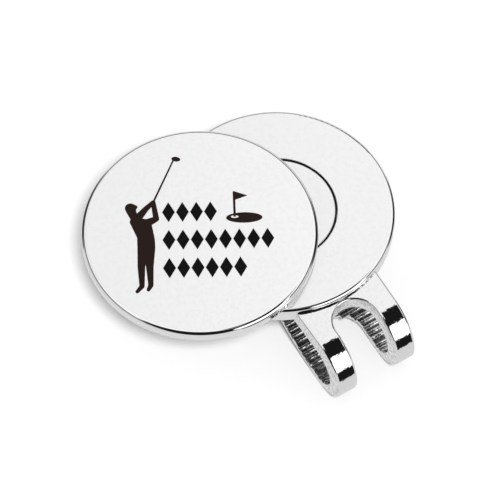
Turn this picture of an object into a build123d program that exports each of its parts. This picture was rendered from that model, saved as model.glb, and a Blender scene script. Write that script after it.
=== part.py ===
from build123d import *
import os
from math import cos, radians, sin, tan

# Golf ball marker with its magnetic hat clip. Millimetres.
# The origin is the centre of the clip's round face, the seat of the marker.
# +Z points out of that face and -Y points along the two prongs.

# round head of the clip
head_diameter = 30.0
head_thickness = 2.6
head_edge_round = 0.5

# magnet let into the middle of the head
pocket_diameter = 15.1
pocket_depth = 1.7
magnet_diameter = 14.6
magnet_thickness = 1.5
magnet_edge_round = 0.12
magnet_below_face = 0.05
pocket_mouth_round = 0.1
glue_diameter = 15.0
glue_inner_diameter = 14.66
glue_below_face = 0.15

# tongue, fold and back arm, all cut from one strip seen from the side
strip_start_y = -9.0
tongue_top_z = -0.8
tongue_bottom_z = -3.15
tongue_width = 12.1
fold_width = 11.3
taper_start_y = -13.0
outer_upper_radius = 5.4
outer_lower_radius = 3.85
fold_end_y = -23.8
inner_upper_radius = 3.4
inner_lower_radius = 2.5
inner_end_y = -21.6
arm_rise = 18.0
arm_outer_bend = 16.6
arm_inner_bend = 14.4
arm_tip_y = -1.6
arm_tip_round = 3.2
strip_edge_round = 0.34

# notch that splits the strip into two prongs
notch_width = 5.8
front_notch_top_y = -15.4
back_notch_top_y = -13.6

# cross ridges on the arm that bite into the brim
ridge_pitch = 0.84
ridge_base = 0.62
ridge_height = 0.3
ridge_sink = 0.06
ridge_margin = 0.5

# marker disc resting on the head, off to one side
marker_diameter = 30.0
marker_thickness = 1.9
marker_edge_round = 0.6
marker_x = -10.8
marker_y = 1.6

# printing on the marker face, laid out on lines turned from the clip's own
print_turn = -29.6
ink_thickness = 0.04

# figure of a golfer at the end of a swing: x, y and radius of its rounded joints
head_top = (-8.75, 3.3, 0.7)
head_chin = (-8.65, 2.85, 0.62)
cap_peak = (-8.1, 3.45, 0.25)
neck = (-8.2, 1.6, 0.46)
back_shoulder = (-8.25, 1.3, 0.6)
front_shoulder = (-6.7, 1.05, 0.58)
chest = (-6.5, -1.1, 0.74)
waist_back = (-7.35, -0.9, 0.6)
waist_front = (-6.45, -1.4, 0.75)
hip_back = (-7.2, -2.5, 0.72)
hip_front = (-6.45, -2.5, 0.78)
back_elbow = (-6.75, 3.2, 0.36)
front_elbow = (-5.5, 1.65, 0.38)
hands = (-5.85, 4.1, 0.3)
back_knee = (-7.45, -5.2, 0.48)
front_knee = (-6.4, -5.2, 0.48)
back_ankle = (-7.4, -8.0, 0.32)
front_ankle = (-6.3, -7.9, 0.32)
back_toe = (-8.0, -8.75, 0.22)
front_toe = (-6.6, -8.5, 0.24)
shaft_start = (-5.85, 4.1, 0.12)
shaft_end = (-3.2, 10.3, 0.1)
club_x = -2.85
club_y = 10.5
club_long = 1.15
club_wide = 0.68
club_lean = -10.0

# rows of diamonds: start x, middle y, number of diamonds
diamond_rows = ((-4.75, 2.6, 4), (-4.75, -1.45, 8), (-4.75, -5.5, 6))
diamond_width = 1.62
diamond_height = 2.9
diamond_pitch = 1.78

# flag on a green
flag_x = 4.45
flag_low_y = 1.75
flag_high_y = 5.5
pole_width = 0.3
flag_length = 1.7
flag_height = 1.3
green_x = 5.65
green_y = 1.6
green_length = 4.6
green_height = 1.5
hole_length = 1.0
hole_height = 0.42

# cutting shapes reach past the part on every side
cut_width = 40.0
cut_low_z = -15.0
cut_high_z = 2.0
cut_reach = 5.0

notch_radius = notch_width / 2
fold_split_z = tongue_top_z - outer_upper_radius
inner_split_z = tongue_bottom_z - inner_upper_radius


def on_circle(centre_y, centre_z, radius, angle):
    """A point of the side view, found by its angle round a centre."""
    return (centre_y + radius * cos(radians(angle)), centre_z + radius * sin(radians(angle)))


def arc_round(centre_y, centre_z, radius, first, last):
    """An arc of the side view round a centre."""
    start = on_circle(centre_y, centre_z, radius, first)
    middle = on_circle(centre_y, centre_z, radius, (first + last) / 2)
    end = on_circle(centre_y, centre_z, radius, last)
    return ThreePointArc(start, middle, end)


def along_arm(point, tip_y):
    """Where a line that leaves a point and rises like the arm meets the tip."""
    return (tip_y, point.Y + (tip_y - point.X) * tan(radians(arm_rise)))


def outer_lines():
    """Upper face of the tongue, outside of the fold and underside of the arm."""
    upper_y = fold_end_y + outer_upper_radius
    lower_y = fold_end_y + outer_lower_radius
    bend_z = fold_split_z - outer_lower_radius + arm_outer_bend
    top = Line((strip_start_y, tongue_top_z), (upper_y, tongue_top_z))
    upper = arc_round(upper_y, fold_split_z, outer_upper_radius, 90, 180)
    lower = arc_round(lower_y, fold_split_z, outer_lower_radius, 180, 270)
    bend = arc_round(lower_y, bend_z, arm_outer_bend, 270, 270 + arm_rise)
    arm = Line(bend @ 1, along_arm(bend @ 1, arm_tip_y))
    return [top, upper, lower, bend, arm]


def inner_lines():
    """Gripping face of the arm, inside of the fold and underside of the tongue."""
    upper_y = inner_end_y + inner_upper_radius
    lower_y = inner_end_y + inner_lower_radius
    bend_z = inner_split_z - inner_lower_radius + arm_inner_bend
    bottom = Line((strip_start_y, tongue_bottom_z), (upper_y, tongue_bottom_z))
    upper = arc_round(upper_y, inner_split_z, inner_upper_radius, 90, 180)
    lower = arc_round(lower_y, inner_split_z, inner_lower_radius, 180, 270)
    bend = arc_round(lower_y, bend_z, arm_inner_bend, 270, 270 + arm_rise)
    arm = Line(bend @ 1, along_arm(bend @ 1, arm_tip_y))
    return [bottom, upper, lower, bend, arm]


def side_solid(face):
    """A side view drawn out both ways, wider than the part."""
    return extrude(Plane.YZ * face, amount=cut_width / 2, both=True)


def make_strip():
    """The bent strip as one solid, before the notch is cut."""
    outer = outer_lines()
    inner = inner_lines()
    tip = Line(outer[-1] @ 1, inner[-1] @ 1)
    root = Line((strip_start_y, tongue_top_z), (strip_start_y, tongue_bottom_z))
    return side_solid(make_face(outer + inner + [tip, root]))


def make_ridges():
    """Rows of small three-sided ridges across the gripping face of the arm and fold."""
    bottom, upper, lower, bend, arm = inner_lines()
    ridges = []
    bend_margin = ridge_pitch / 2
    for path, margin in ((arm, ridge_margin), (bend, bend_margin), (lower, bend_margin)):
        count = int((path.length - margin) / ridge_pitch)
        for number in range(count):
            share = (path.length - margin - number * ridge_pitch) / path.length
            foot = path @ share
            run = path % share
            up = Vector(-run.Y, run.X)
            left = foot - run * (ridge_base / 2) - up * ridge_sink
            right = foot + run * (ridge_base / 2) - up * ridge_sink
            peak = foot + up * ridge_height
            ridges.append(side_solid(make_face(Polyline(left, peak, right, close=True))))
    return ridges


def strip_outline():
    """Plan of the strip: slightly narrower at the fold, rounded at the arm tip."""
    half = tongue_width / 2
    fold_half = fold_width / 2
    low_y = fold_end_y - cut_reach
    tip_start = arm_tip_y - arm_tip_round
    outline = Polyline((-fold_half, low_y), (-half, taper_start_y), (-half, tip_start))
    corner = RadiusArc((-half, tip_start), (-half + arm_tip_round, arm_tip_y), arm_tip_round)
    end = Line((-half + arm_tip_round, arm_tip_y), (0, arm_tip_y))
    left = [outline, corner, end]
    right = [mirror(piece, about=Plane.YZ) for piece in left]
    close = Line((-fold_half, low_y), (fold_half, low_y))
    return make_face(left + right + [close])


def notch(top_y, low_z, high_z):
    """A slot open at the fold end with a half round closed end."""
    centre_y = top_y - notch_radius
    reach = centre_y - fold_end_y + cut_reach
    flat = Pos(0, centre_y - reach / 2) * Rectangle(notch_width, reach)
    shape = flat + Pos(0, centre_y) * Circle(notch_radius)
    return extrude(Pos(0, 0, low_z) * shape, amount=high_z - low_z)


def is_pocket_mouth(edge):
    """True for the upper rim of the magnet's pocket."""
    on_face = abs(edge.center().Z) < 0.001
    return on_face and abs(edge.radius - pocket_diameter / 2) < 0.001


def make_clip_body():
    """Head, tongue, two prongs, fold and ridged arm: one casting."""
    strip = make_strip()
    plan = extrude(Pos(0, 0, cut_low_z) * strip_outline(), amount=cut_high_z - cut_low_z)
    front_notch = notch(front_notch_top_y, fold_split_z, cut_high_z)
    back_notch = notch(back_notch_top_y, cut_low_z, fold_split_z)
    strip = (strip & plan) - front_notch - back_notch
    long_edges = strip.edges().filter_by(Axis.X, reverse=True)
    strip = fillet(long_edges, strip_edge_round)
    ridges = (Compound(children=make_ridges()) & plan) - back_notch
    head = Pos(0, 0, -head_thickness / 2) * Cylinder(head_diameter / 2, head_thickness)
    rims = head.edges().filter_by(GeomType.CIRCLE)
    head = fillet(rims, head_edge_round)
    pocket = Pos(0, 0, -pocket_depth / 2) * Cylinder(pocket_diameter / 2, pocket_depth)
    body = head + strip + ridges - pocket
    mouth = body.edges().filter_by(GeomType.CIRCLE).filter_by(is_pocket_mouth)
    return fillet(mouth, pocket_mouth_round)


def make_magnet():
    """Flat round magnet, its face a hair below the head's face."""
    middle = -magnet_below_face - magnet_thickness / 2
    magnet = Pos(0, 0, middle) * Cylinder(magnet_diameter / 2, magnet_thickness)
    return fillet(magnet.edges().filter_by(GeomType.CIRCLE), magnet_edge_round)


def make_magnet_glue():
    """Adhesive under the magnet, squeezed up round its side to just below the face."""
    height = pocket_depth - glue_below_face
    cup = Pos(0, 0, height / 2 - pocket_depth) * Cylinder(glue_diameter / 2, height)
    magnet_foot = -magnet_below_face - magnet_thickness
    room = Pos(0, 0, magnet_foot + height / 2) * Cylinder(glue_inner_diameter / 2, height)
    return cup - room


def make_marker_disc():
    """Plain round disc of plated iron with softened edges."""
    disc = Pos(marker_x, marker_y, marker_thickness / 2)
    disc *= Cylinder(marker_diameter / 2, marker_thickness)
    return fillet(disc.edges().filter_by(GeomType.CIRCLE), marker_edge_round)


def printed(shape):
    """A flat drawing laid on the marker face as a thin film of ink."""
    place = Pos(marker_x, marker_y, marker_thickness) * Rot(0, 0, print_turn)
    return place * extrude(shape, amount=ink_thickness)


def rounded_hull(*joints):
    """The outline pulled tight round the circles of some joints."""
    rings = ShapeList()
    for x, y, radius in joints:
        rings += (Pos(x, y) * Circle(radius)).edges()
    return make_hull(rings)


def make_print_golfer():
    """Plain figure of a golfer, one dark shape, looking along the raised club."""
    pieces = [
        rounded_hull(head_top, head_chin),
        rounded_hull(head_top, cap_peak),
        rounded_hull(head_chin, neck),
        rounded_hull(back_shoulder, front_shoulder, chest, waist_back),
        rounded_hull(waist_back, waist_front, hip_front, hip_back),
        rounded_hull(back_shoulder, back_elbow),
        rounded_hull(back_elbow, hands),
        rounded_hull(front_shoulder, front_elbow),
        rounded_hull(front_elbow, hands),
        rounded_hull(hip_back, back_knee),
        rounded_hull(back_knee, back_ankle),
        rounded_hull(back_ankle, back_toe),
        rounded_hull(hip_front, front_knee),
        rounded_hull(front_knee, front_ankle),
        rounded_hull(front_ankle, front_toe),
        rounded_hull(shaft_start, shaft_end),
        Pos(club_x, club_y) * Rot(0, 0, club_lean) * Ellipse(club_long / 2, club_wide / 2),
    ]
    drawing = pieces[0]
    for piece in pieces[1:]:
        drawing += piece
    return printed(drawing)


def make_print_rows():
    """Three rows of upright diamonds, the knitted pattern of golf socks."""
    half_width = diamond_width / 2
    half_height = diamond_height / 2
    corners = ((-half_width, 0), (0, half_height), (half_width, 0), (0, -half_height))
    diamond = make_face(Polyline(*corners, close=True))
    diamonds = []
    for start_x, middle_y, count in diamond_rows:
        for number in range(count):
            spot = Pos(start_x + half_width + number * diamond_pitch, middle_y)
            diamonds.append(printed(spot * diamond))
    return Compound(children=diamonds)


def make_print_flag():
    """A small flag on its pole, standing in an oval green."""
    middle_y = (flag_low_y + flag_high_y) / 2
    pole = Pos(flag_x, middle_y) * Rectangle(pole_width, flag_high_y - flag_low_y)
    low_y = flag_high_y - flag_height
    tip = (flag_x + flag_length, flag_high_y - flag_height / 2)
    flag = make_face(Polyline((flag_x, flag_high_y), tip, (flag_x, low_y), close=True))
    green = Pos(green_x, green_y) * Ellipse(green_length / 2, green_height / 2)
    hole = Pos(flag_x, flag_low_y) * Ellipse(hole_length / 2, hole_height / 2)
    return printed(green - hole + pole + flag)


os.makedirs("parts", exist_ok=True)
export_step(make_clip_body(), "parts/clip_body.step")
export_step(make_magnet(), "parts/magnet.step")
export_step(make_magnet_glue(), "parts/magnet_glue.step")
export_step(make_marker_disc(), "parts/marker_disc.step")
export_step(make_print_golfer(), "parts/print_golfer.step")
export_step(make_print_rows(), "parts/print_rows.step")
export_step(make_print_flag(), "parts/print_flag.step")
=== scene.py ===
import bpy
import bmesh
import math
from mathutils import Matrix, Vector


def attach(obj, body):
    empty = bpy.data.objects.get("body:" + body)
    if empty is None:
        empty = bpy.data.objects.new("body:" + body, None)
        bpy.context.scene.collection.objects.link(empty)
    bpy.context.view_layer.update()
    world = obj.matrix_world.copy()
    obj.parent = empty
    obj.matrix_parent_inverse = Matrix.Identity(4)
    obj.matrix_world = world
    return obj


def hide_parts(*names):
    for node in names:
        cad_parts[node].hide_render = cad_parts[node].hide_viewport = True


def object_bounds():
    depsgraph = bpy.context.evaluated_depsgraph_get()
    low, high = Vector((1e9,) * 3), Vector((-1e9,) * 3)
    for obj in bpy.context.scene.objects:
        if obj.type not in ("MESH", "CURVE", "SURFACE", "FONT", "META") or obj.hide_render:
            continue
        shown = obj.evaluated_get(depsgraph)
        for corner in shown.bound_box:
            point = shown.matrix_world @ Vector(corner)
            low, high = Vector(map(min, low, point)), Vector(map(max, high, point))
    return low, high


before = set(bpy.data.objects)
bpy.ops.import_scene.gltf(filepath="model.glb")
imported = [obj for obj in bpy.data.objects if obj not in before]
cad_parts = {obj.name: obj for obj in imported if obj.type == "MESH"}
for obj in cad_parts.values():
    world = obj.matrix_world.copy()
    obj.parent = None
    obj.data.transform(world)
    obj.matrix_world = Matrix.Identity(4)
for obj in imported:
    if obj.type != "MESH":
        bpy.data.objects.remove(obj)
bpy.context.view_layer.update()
MM = 0.001

# camera: direction it stands in, turn of the picture, and what it frames
CAMERA_AZIMUTH = -33.8
CAMERA_ELEVATION = 60.5
CAMERA_ROLL = 2.4
CAMERA_LENS = 150.0
SENSOR_WIDTH = 36.0
PICTURE_WIDTH = 64.1 * MM
AIM_RIGHT = -3.67 * MM
AIM_UP = -5.33 * MM

# studio that the metal mirrors: the table's brightness below the horizon
TABLE_LIGHT = 0.72
# bands above it, each with its lower edge and softness in degrees, then brightness
STUDIO_BANDS = ((0.0, 1.0, 0.6), (23.0, 3.0, 0.01), (40.0, 3.0, 1.0))
# round patches: azimuth, elevation, radius and softness in degrees, then brightness
STUDIO_PATCHES = (
    (178.0, 58.0, 12.0, 9.0, 0.82),
    (-160.0, 1.0, 21.0, 2.0, 0.01),
    (86.0, 4.0, 20.0, 2.0, 0.01),
    (-28.0, 45.0, 37.0, 3.0, 0.01),
    (76.0, 73.0, 11.5, 1.5, 0.01),
    (36.0, 61.0, 12.0, 1.0, 0.01),
    (14.0, -5.0, 15.0, 1.0, 0.01),
    (20.0, 31.0, 21.0, 1.0, 1.6),
)

# light on matt surfaces, and the dimmer light that reaches them by way of the metal
SKY_LIGHT = 0.3
SHADE_LIGHT = 0.04

# sun lamp: where it stands, how wide it is in degrees, and its strength
LAMP_AZIMUTH = -21.0
LAMP_ELEVATION = 63.0
LAMP_SPREAD = 15.0
LAMP_STRENGTH = 3.0

# share of mirror in the satin faces; the rest scatters light
SATIN_METAL = 0.78

# noise sizes as nodes take them, how deep the metal's grain is, and the ink's gloss
SMEAR_SCALE = 240.0
INK_GRAIN_SCALE = 2600.0
METAL_GRAIN_DEPTH = 0.03 * MM
INK_GRAIN_DEPTH = 0.01 * MM
INK_SPECULAR = 0.12

# floor: its width, and how far it lies below the object
FLOOR_SIZE = 4.0
FLOOR_DROP = 0.02 * MM

# shapes repeated from the solid model, in millimetres; the ridges are a hair
# higher than its own, to cover them, and the head's back a hair lower
HEAD_RADIUS = 15.0
HEAD_BACK = -2.62
MARKER_CENTRE = (-10.8, 1.6)
MARKER_RADIUS = 15.0
MARKER_THICKNESS = 1.9
MARKER_EDGE = 0.6
TONGUE_UNDER = -3.15
SLOT_END = -21.6
UPPER_ARC = (-18.2, -6.55, 3.4)
LOWER_ARC = (-19.1, -6.55, 2.5)
BEND_ARC = (-19.1, 5.35, 14.4)
ARM_RISE = 18.0
ARM_TIP = -1.6
RIDGE_PITCH = 0.84
RIDGE_HEIGHT = 0.33
RIDGE_HALF = 0.31
TONGUE_HALF = 6.05
FOLD_HALF = 5.65
TAPER_START = -13.0
TAPER_END = -28.8
NOTCH_HALF = 2.9
NOTCH_TOP = -13.6

# slack when a face of the clip is sorted into a material, in millimetres
RIM_SLACK = 0.02
ROOF_SLACK = 0.06
FLOOR_SLACK = 0.08
# stretch of the strip whose upright faces are grainy like its sides
UPRIGHT_FROM = -20.5
UPRIGHT_TO = -11.0

# least or most of a face's direction that makes it level, sideways or upright
LEVEL = 0.999
SIDEWAYS = 0.85
UPRIGHT = 0.2

# order of the clip's materials; the fourth is the slot's metal, darkened as painted shade
RIM, STRIP, SIDE, SHADED_SLOT, FACE = range(5)

# the marker's edge and the ridges in mesh form
MARKER_SEGMENTS = 240
ROLL_STEPS = 12
RIDGE_STATIONS = 9
RIDGE_POINTS = 9
RIDGE_SINK = 0.02
RIDGE_INSET = 0.03
ARM_MARGIN = 0.5


def new_tree(material):
    """An empty node tree with an output and a Principled shader."""
    material.use_nodes = True
    tree = material.node_tree
    tree.nodes.clear()
    out = tree.nodes.new("ShaderNodeOutputMaterial")
    shader = tree.nodes.new("ShaderNodeBsdfPrincipled")
    tree.links.new(shader.outputs["BSDF"], out.inputs["Surface"])
    return tree, shader


def noise(tree, coords, scale, detail=3.0, roughness=0.5):
    """A noise texture in object space."""
    node = tree.nodes.new("ShaderNodeTexNoise")
    node.inputs["Scale"].default_value = scale
    node.inputs["Detail"].default_value = detail
    node.inputs["Roughness"].default_value = roughness
    tree.links.new(coords, node.inputs["Vector"])
    return node.outputs["Fac"]


def ramp(tree, value, low, high, start, end):
    """Maps a value between start and end to a number between low and high."""
    node = tree.nodes.new("ShaderNodeMapRange")
    node.inputs["From Min"].default_value = start
    node.inputs["From Max"].default_value = end
    node.inputs["To Min"].default_value = low
    node.inputs["To Max"].default_value = high
    tree.links.new(value, node.inputs["Value"])
    return node.outputs["Result"]


def bump(tree, shader, height, strength, distance):
    """Bends the shader's surface by a height value."""
    node = tree.nodes.new("ShaderNodeBump")
    node.inputs["Strength"].default_value = strength
    node.inputs["Distance"].default_value = distance
    tree.links.new(height, node.inputs["Height"])
    tree.links.new(node.outputs["Normal"], shader.inputs["Normal"])


def object_coords(tree):
    """Positions in the object's own space."""
    return tree.nodes.new("ShaderNodeTexCoord").outputs["Object"]


def metal(name, tint, low_rough, high_rough, grain, grain_size, mottle=0.025):
    """Plated metal: smears soften it unevenly and a fine grain bends its reflections."""
    material = bpy.data.materials.new(name)
    tree, shader = new_tree(material)
    coords = object_coords(tree)
    shader.inputs["Metallic"].default_value = 1.0
    smears = noise(tree, coords, SMEAR_SCALE, 4.0)
    grains = noise(tree, coords, 1 / grain_size, 2.0)
    mix = tree.nodes.new("ShaderNodeMix")
    mix.data_type = "RGBA"
    mix.inputs["A"].default_value = (*[channel * (1 - mottle) for channel in tint], 1)
    mix.inputs["B"].default_value = (*tint, 1)
    tree.links.new(ramp(tree, grains, 0.0, 1.0, 0.38, 0.55), mix.inputs["Factor"])
    tree.links.new(mix.outputs["Result"], shader.inputs["Base Color"])
    tree.links.new(ramp(tree, smears, low_rough, high_rough, 0.35, 0.7), shader.inputs["Roughness"])
    bump(tree, shader, grains, grain, METAL_GRAIN_DEPTH)
    return material


def dark_coat(name, color, low_rough, high_rough):
    """Ink or adhesive: nearly black and slightly uneven."""
    material = bpy.data.materials.new(name)
    tree, shader = new_tree(material)
    coords = object_coords(tree)
    grain = noise(tree, coords, INK_GRAIN_SCALE, 3.0)
    mix = tree.nodes.new("ShaderNodeMix")
    mix.data_type = "RGBA"
    mix.inputs["A"].default_value = (*color, 1)
    mix.inputs["B"].default_value = (color[0] * 1.5, color[1] * 1.5, color[2] * 1.5, 1)
    tree.links.new(grain, mix.inputs["Factor"])
    tree.links.new(mix.outputs["Result"], shader.inputs["Base Color"])
    tree.links.new(ramp(tree, grain, low_rough, high_rough, 0.3, 0.7), shader.inputs["Roughness"])
    shader.inputs["Specular IOR Level"].default_value = INK_SPECULAR
    bump(tree, shader, grain, 0.15, INK_GRAIN_DEPTH)
    return material


def paint(node, *materials):
    """Gives a CAD node new materials and returns its mesh."""
    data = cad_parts[node].data
    data.materials.clear()
    for material in materials:
        data.materials.append(material)
    return data


def slot_floor(y):
    """Height of the arm's gripping face in the side view."""
    if y < LOWER_ARC[0]:
        centre_y, centre_z, radius = LOWER_ARC
    else:
        centre_y, centre_z, radius = BEND_ARC
    bend_end = BEND_ARC[0] + BEND_ARC[2] * math.sin(math.radians(ARM_RISE))
    reach = min(max(y, SLOT_END), bend_end) - centre_y
    height = centre_z - math.sqrt(max(radius ** 2 - reach ** 2, 0))
    return height + max(y - bend_end, 0) * math.tan(math.radians(ARM_RISE))


def in_slot(y, z):
    """True on the walls of the slot between tongue and arm, seen from the side; these faces get
    painted shade.
    """
    roof = TONGUE_UNDER
    if y < UPPER_ARC[0]:
        reach = min(abs(y - UPPER_ARC[0]), UPPER_ARC[2])
        roof = UPPER_ARC[1] + math.sqrt(UPPER_ARC[2] ** 2 - reach ** 2)
    return y > SLOT_END - ROOF_SLACK and slot_floor(y) - FLOOR_SLACK < z < roof + ROOF_SLACK


def is_face(polygon):
    """True for a level face that looks up or down."""
    return abs(polygon.normal.z) > LEVEL


def paint_clip(head, strip, sides, slot, face):
    """One casting: polished rims, satin face, grainy cut sides and a slot whose metal is darkened as
    painted shade.
    """
    data = paint("clip_body", head, strip, sides, slot, face)
    for polygon in data.polygons:
        x, y, z = (c / MM for c in polygon.center)
        upright = abs(polygon.normal.z) < UPRIGHT and UPRIGHT_FROM < y < UPRIGHT_TO
        if z > HEAD_BACK and math.hypot(x, y) < HEAD_RADIUS + RIM_SLACK:
            polygon.material_index = FACE if is_face(polygon) else RIM
        elif in_slot(y, z):
            # the slot's walls take the metal darkened as painted shade
            polygon.material_index = SHADED_SLOT
        elif abs(polygon.normal.x) > SIDEWAYS or upright:
            polygon.material_index = SIDE
        else:
            polygon.material_index = STRIP


def new_piece(name, data, material, body):
    """A new object that rides on a body."""
    piece = bpy.data.objects.new(name, data)
    bpy.context.scene.collection.objects.link(piece)
    data.materials.append(material)
    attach(piece, body)
    return piece


def arc_profile(centre, radius, first, last, steps):
    """Points of a turned edge, each with the direction that it faces."""
    points = []
    for number in range(steps + 1):
        angle = math.radians(first + (last - first) * number / steps)
        out, up = math.cos(angle), math.sin(angle)
        points.append((centre[0] + radius * out, centre[1] + radius * up, out, up))
    return points


def turned(name, centre, profile, segments, material, body):
    """A round piece turned from a profile, with exact normals all over."""
    verts, faces, normals = [], [], []
    for number in range(segments):
        angle = 2 * math.pi * number / segments
        c, s = math.cos(angle), math.sin(angle)
        for radius, height, out, up in profile:
            x, y = centre[0] + radius * c, centre[1] + radius * s
            verts.append((x * MM, y * MM, height * MM))
            normals.append((out * c, out * s, up))
    count = len(profile)
    for number in range(segments):
        here, there = number * count, (number + 1) % segments * count
        for step_number in range(count - 1):
            a, b = here + step_number, there + step_number
            faces.append((a, b, b + 1, a + 1))
    faces.append([number * count for number in reversed(range(segments))])
    faces.append([number * count + count - 1 for number in range(segments)])
    data = bpy.data.meshes.new(name)
    data.from_pydata(verts, [], faces)
    for polygon in data.polygons:
        polygon.use_smooth = True
    data.normals_split_custom_set_from_vertices(normals)
    return new_piece(name, data, material, body)


def make_marker(rim, face):
    """The marker disc: satin faces, and a polished, softly rolled edge above and below."""
    inner = MARKER_RADIUS - MARKER_EDGE
    top = MARKER_THICKNESS - MARKER_EDGE
    profile = [(inner * 0.5, 0, 0, -1)]
    profile += arc_profile((inner, MARKER_EDGE), MARKER_EDGE, -90, 0, ROLL_STEPS)
    profile += arc_profile((inner, top), MARKER_EDGE, 0, 90, ROLL_STEPS)
    profile += [(inner * 0.5, MARKER_THICKNESS, 0, 1)]
    piece = turned("marker_body", MARKER_CENTRE, profile, MARKER_SEGMENTS, rim, "marker")
    piece.data.materials.append(face)
    for polygon in piece.data.polygons:
        polygon.material_index = 1 if is_face(polygon) else 0
    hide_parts("marker_disc")


def ridge_feet():
    """Foot and direction of each ridge along the slot's floor, from the arm to the fold."""
    rise = math.radians(ARM_RISE)
    bend_end = BEND_ARC[0] + BEND_ARC[2] * math.sin(rise)
    arm_length = (ARM_TIP - bend_end) / math.cos(rise)
    feet = []
    along = arm_length - ARM_MARGIN
    while along > RIDGE_PITCH * 0.5:
        y = bend_end + along * math.cos(rise)
        feet.append((y, slot_floor(y), rise))
        along -= RIDGE_PITCH
    arcs = ((BEND_ARC, ARM_RISE, 0.0), (LOWER_ARC, 0.0, -90.0))
    for (centre_y, centre_z, radius), high, low in arcs:
        length = radius * math.radians(high - low)
        along = length - RIDGE_PITCH / 2
        while along > RIDGE_PITCH * 0.4:
            angle = math.radians(low) + along / radius
            y = centre_y + radius * math.sin(angle)
            feet.append((y, centre_z - radius * math.cos(angle), angle))
            along -= RIDGE_PITCH
    return feet


def strip_half(y):
    """Half width of the strip, which narrows evenly towards the fold."""
    share = min(max((TAPER_START - y) / (TAPER_START - TAPER_END), 0), 1)
    return TONGUE_HALF + (FOLD_HALF - TONGUE_HALF) * share


def notch_half(y):
    """Half width of the notch that splits the strip, with its half round closed end."""
    centre = NOTCH_TOP - NOTCH_HALF
    if y > NOTCH_TOP:
        return 0.0
    if y < centre:
        return NOTCH_HALF
    return math.sqrt(NOTCH_HALF ** 2 - (y - centre) ** 2)


def ridge_bar(build, left, right, foot, number):
    """One half round ridge, slightly uneven along its length as castings are."""
    y, z, turn = foot
    across = (math.cos(turn), math.sin(turn))
    up = (-math.sin(turn), math.cos(turn))
    rings = []
    for station in range(RIDGE_STATIONS):
        x = left + (right - left) * station / (RIDGE_STATIONS - 1)
        swell = 1 + 0.07 * math.sin(5.1 * x + 2.7 * number) + 0.05 * math.sin(11.3 * x + 1.9 * number)
        ring = []
        for point in range(RIDGE_POINTS):
            angle = math.pi * point / (RIDGE_POINTS - 1)
            side = RIDGE_HALF * math.cos(angle)
            rise = RIDGE_HEIGHT * swell * math.sin(angle) - RIDGE_SINK
            py = y + across[0] * side + up[0] * rise
            pz = z + across[1] * side + up[1] * rise
            ring.append(build.verts.new((x * MM, py * MM, pz * MM)))
        rings.append(ring)
    for first, second in zip(rings, rings[1:]):
        for point in range(RIDGE_POINTS - 1):
            build.faces.new((first[point], first[point + 1], second[point + 1], second[point]))
    build.faces.new(list(reversed(rings[0])))
    build.faces.new(rings[-1])


def make_ridges(material):
    """Bright worn crests on the ridges that bite into the brim."""
    build = bmesh.new()
    for number, foot in enumerate(ridge_feet()):
        half = strip_half(foot[0]) - RIDGE_INSET
        gap = notch_half(foot[0] + RIDGE_HALF)
        if gap == 0:
            ridge_bar(build, -half, half, foot, number)
        else:
            ridge_bar(build, -half, -gap - RIDGE_INSET, foot, number)
            ridge_bar(build, gap + RIDGE_INSET, half, foot, number + 40)
    bmesh.ops.recalc_face_normals(build, faces=build.faces)
    data = bpy.data.meshes.new("grip_ridges")
    build.to_mesh(data)
    build.free()
    for polygon in data.polygons:
        polygon.use_smooth = True
    data.set_sharp_from_angle(angle=math.radians(50))
    piece = new_piece("grip_ridges", data, material, "clip")


head_chrome = metal("head_chrome", (0.94, 0.94, 0.945), 0.015, 0.05, 0.12, 0.0009)
head_satin = metal("head_satin", (0.88, 0.88, 0.885), 0.2, 0.22, 0.15, 0.0006)
strip_chrome = metal("strip_chrome", (0.89, 0.89, 0.895), 0.02, 0.06, 0.65, 0.00045)
side_cast = metal("side_cast", (0.97, 0.97, 0.97), 0.16, 0.3, 1.2, 0.00035, 0.3)
# slot walls: the dark tint is painted shade of the narrow recess between tongue and arm; the
# roughness and mottle are the metal's own
slot_painted_shade = metal("slot_painted_shade", (0.2, 0.195, 0.19), 0.3, 0.5, 1.0, 0.0003, 0.6)
ridge_crest = metal("ridge_crest", (0.95, 0.95, 0.95), 0.07, 0.18, 0.8, 0.0003, 0.3)
magnet_nickel = metal("magnet_nickel", (0.87, 0.87, 0.875), 0.2, 0.22, 0.15, 0.0006)
marker_chrome = metal("marker_chrome", (0.95, 0.95, 0.955), 0.02, 0.06, 0.08, 0.0009)
marker_satin = metal("marker_satin", (0.9, 0.9, 0.905), 0.19, 0.21, 0.1, 0.0006)
brown_ink = dark_coat("brown_ink", (0.012, 0.0065, 0.0055), 0.5, 0.7)
black_ink = dark_coat("black_ink", (0.002, 0.002, 0.002), 0.5, 0.7)
# the adhesive round the magnet is near black, partly its own colour and partly painted shade of the
# gap between magnet and pocket
epoxy_and_gap_shade = dark_coat("epoxy_and_gap_shade", (0.003, 0.003, 0.003), 0.2, 0.4)
for satin in (head_satin, marker_satin, magnet_nickel):
    satin.node_tree.nodes["Principled BSDF"].inputs["Metallic"].default_value = SATIN_METAL
paint_clip(head_chrome, strip_chrome, side_cast, slot_painted_shade, head_satin)
paint("magnet", magnet_nickel)
# near-black adhesive in the groove: partly painted shade of the gap
paint("magnet_glue", epoxy_and_gap_shade)
make_marker(marker_chrome, marker_satin)
make_ridges(ridge_crest)
paint("print_golfer", brown_ink)
paint("print_rows", black_ink)
paint("print_flag", brown_ink)


def sheet_mesh(name, size, z):
    """A flat square sheet, cut into a few panels."""
    mesh = bpy.data.meshes.new(name)
    build = bmesh.new()
    bmesh.ops.create_grid(build, x_segments=8, y_segments=8, size=size / 2)
    build.to_mesh(mesh)
    build.free()
    piece = bpy.data.objects.new(name, mesh)
    piece.location.z = z
    bpy.context.scene.collection.objects.link(piece)
    return piece


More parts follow.
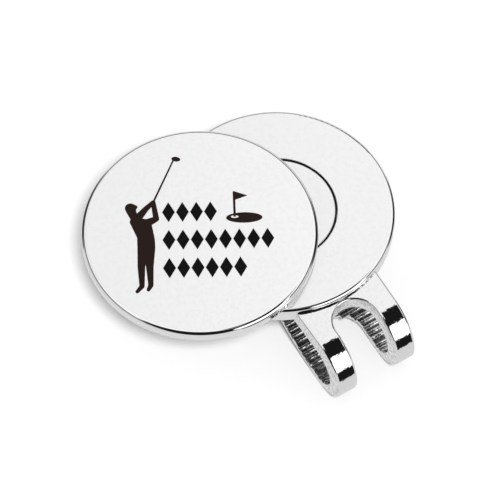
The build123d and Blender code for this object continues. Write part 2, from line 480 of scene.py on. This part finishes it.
def make_floor():
    """A pale floor that is seen from above only and isn't mirrored in the metal."""
    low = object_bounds()[0]
    floor = sheet_mesh("floor", FLOOR_SIZE, low.z - FLOOR_DROP)
    material = bpy.data.materials.new("floor")
    tree, shader = new_tree(material)
    shader.inputs["Base Color"].default_value = (0.92, 0.92, 0.92, 1)
    shader.inputs["Roughness"].default_value = 0.9
    shader.inputs["Specular IOR Level"].default_value = 0.0
    clear = tree.nodes.new("ShaderNodeBsdfTransparent")
    mix = tree.nodes.new("ShaderNodeMixShader")
    tree.links.new(tree.nodes.new("ShaderNodeNewGeometry").outputs["Backfacing"], mix.inputs["Fac"])
    tree.links.new(shader.outputs["BSDF"], mix.inputs[1])
    tree.links.new(clear.outputs["BSDF"], mix.inputs[2])
    tree.links.new(mix.outputs["Shader"], tree.nodes["Material Output"].inputs["Surface"])
    floor.data.materials.append(material)
    floor.visible_glossy = False


def direction(azimuth, elevation):
    """Unit vector towards a place in the studio; azimuth 0 is -Y and 90 is +X."""
    a, e = math.radians(azimuth), math.radians(elevation)
    return Vector((math.sin(a) * math.cos(e), -math.cos(a) * math.cos(e), math.sin(e)))


def step(tree, height, start, end):
    """Rises from 0 to 1 between two elevations, given in degrees."""
    node = tree.nodes.new("ShaderNodeMapRange")
    node.interpolation_type = "SMOOTHSTEP"
    node.inputs["From Min"].default_value = math.sin(math.radians(start))
    node.inputs["From Max"].default_value = math.sin(math.radians(end))
    tree.links.new(height, node.inputs["Value"])
    return node.outputs["Result"]


def mix_patch(tree, below, ray, patch):
    """Lays one round patch of light or dark over what is already there."""
    azimuth, elevation, radius, soft, value = patch
    dot = tree.nodes.new("ShaderNodeVectorMath")
    dot.operation = "DOT_PRODUCT"
    dot.inputs[1].default_value = direction(azimuth, elevation)
    tree.links.new(ray, dot.inputs[0])
    edge = tree.nodes.new("ShaderNodeMapRange")
    edge.interpolation_type = "SMOOTHSTEP"
    edge.inputs["From Min"].default_value = math.cos(math.radians(radius + soft))
    edge.inputs["From Max"].default_value = math.cos(math.radians(max(radius - soft, 0)))
    tree.links.new(dot.outputs["Value"], edge.inputs["Value"])
    mix = tree.nodes.new("ShaderNodeMix")
    mix.inputs["B"].default_value = value
    tree.links.new(edge.outputs["Result"], mix.inputs["Factor"])
    tree.links.new(below, mix.inputs["A"])
    return mix.outputs["Result"]


def make_world():
    """A studio with a dark band and patches for the metal to mirror, and plain light for the rest."""
    world = bpy.data.worlds.new("studio")
    bpy.context.scene.world = world
    world.use_nodes = True
    tree = world.node_tree
    tree.nodes.clear()
    out = tree.nodes.new("ShaderNodeOutputWorld")
    ray = tree.nodes.new("ShaderNodeTexCoord").outputs["Generated"]
    split = tree.nodes.new("ShaderNodeSeparateXYZ")
    tree.links.new(ray, split.inputs["Vector"])
    value = None
    for edge, soft, light in STUDIO_BANDS:
        mix = tree.nodes.new("ShaderNodeMix")
        mix.inputs["A"].default_value = TABLE_LIGHT
        mix.inputs["B"].default_value = light
        tree.links.new(step(tree, split.outputs["Z"], edge - soft, edge + soft), mix.inputs["Factor"])
        if value:
            tree.links.new(value, mix.inputs["A"])
        value = mix.outputs["Result"]
    for patch in STUDIO_PATCHES:
        value = mix_patch(tree, value, ray, patch)
    studio = tree.nodes.new("ShaderNodeBackground")
    tree.links.new(value, studio.inputs["Color"])
    shade = tree.nodes.new("ShaderNodeBackground")
    shade.inputs["Color"].default_value = (SHADE_LIGHT, SHADE_LIGHT, SHADE_LIGHT, 1)
    sky = tree.nodes.new("ShaderNodeBackground")
    sky.inputs["Color"].default_value = (SKY_LIGHT, SKY_LIGHT, SKY_LIGHT, 1)
    plain = tree.nodes.new("ShaderNodeBackground")
    plain.inputs["Color"].default_value = (1, 1, 1, 1)
    path = tree.nodes.new("ShaderNodeLightPath")
    shown = studio.outputs["Background"]
    for kind, light in (("Diffuse Depth", shade), ("Is Diffuse Ray", sky), ("Is Camera Ray", plain)):
        choose = tree.nodes.new("ShaderNodeMixShader")
        tree.links.new(path.outputs[kind], choose.inputs["Fac"])
        tree.links.new(shown, choose.inputs[1])
        tree.links.new(light.outputs["Background"], choose.inputs[2])
        shown = choose.outputs["Shader"]
    tree.links.new(shown, out.inputs["Surface"])


def make_lamp():
    """Soft light from high in front, which the metal doesn't mirror."""
    data = bpy.data.lights.new("lamp", "SUN")
    data.angle = math.radians(LAMP_SPREAD)
    data.energy = LAMP_STRENGTH
    lamp = bpy.data.objects.new("lamp", data)
    bpy.context.scene.collection.objects.link(lamp)
    lamp.rotation_mode = "QUATERNION"
    lamp.rotation_quaternion = direction(LAMP_AZIMUTH, LAMP_ELEVATION).to_track_quat("Z", "Y")
    lamp.visible_glossy = False


def make_camera():
    """A camera with a long lens, standing and turned as the values at the top say."""
    data = bpy.data.cameras.new("camera")
    data.lens = CAMERA_LENS
    data.sensor_width = SENSOR_WIDTH
    camera = bpy.data.objects.new("camera", data)
    bpy.context.scene.collection.objects.link(camera)
    back = direction(CAMERA_AZIMUTH, CAMERA_ELEVATION)
    right = direction(CAMERA_AZIMUTH + 90, 0)
    up = back.cross(right)
    roll = math.radians(CAMERA_ROLL)
    side = right * math.cos(roll) + up * math.sin(roll)
    top = up * math.cos(roll) - right * math.sin(roll)
    aim = side * AIM_RIGHT + top * AIM_UP
    distance = PICTURE_WIDTH / 2 / (SENSOR_WIDTH / 2 / CAMERA_LENS)
    turn = Matrix((side, top, back)).transposed().to_4x4()
    camera.matrix_world = Matrix.Translation(aim + back * distance) @ turn
    data.clip_start = 0.01
    data.clip_end = 10.0
    bpy.context.scene.camera = camera


make_floor()
make_world()
make_lamp()
make_camera()
scene = bpy.context.scene
scene.view_settings.view_transform = "Standard"
